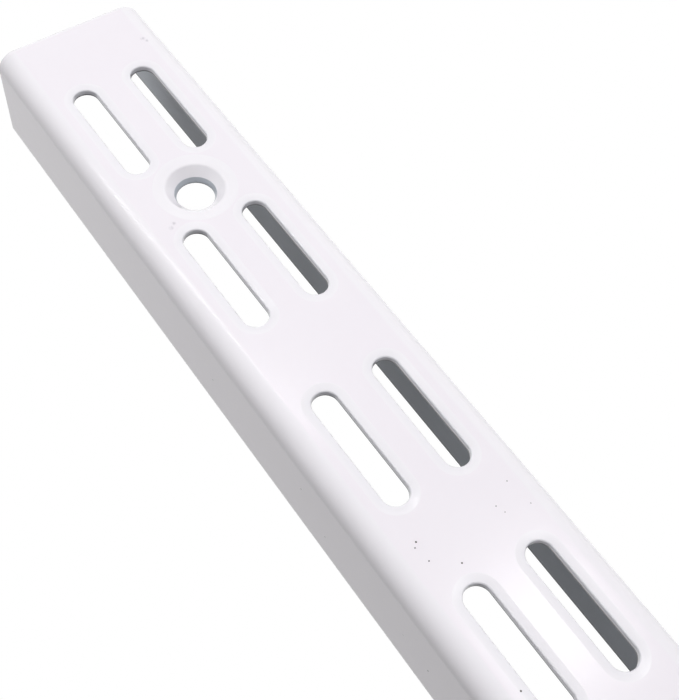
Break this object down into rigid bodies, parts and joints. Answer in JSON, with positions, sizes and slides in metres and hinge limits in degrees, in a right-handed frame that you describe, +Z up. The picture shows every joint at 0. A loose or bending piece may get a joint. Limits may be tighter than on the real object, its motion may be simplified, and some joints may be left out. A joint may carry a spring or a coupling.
{
  "type": "twin slot shelf upright",
  "caption": "Wall-fixed shelf upright: white powder-coated pressed steel channel with twin rows of bracket slots and countersunk screw holes.",
  "frame": {"origin": "middle of the upright's box, level with the middle of the screw holes", "axes": "+Z up along the length, +X to the right as the front is faced, -Y out of the front face and +Y into the wall"},
  "size_m": [0.025, 0.016, 0.43],
  "materials": {
    "white_powder_coat": "glossy white powder coat"
  },
  "bodies": {
    "root": {"upright": "white_powder_coat"}
  },
  "joints": []
}
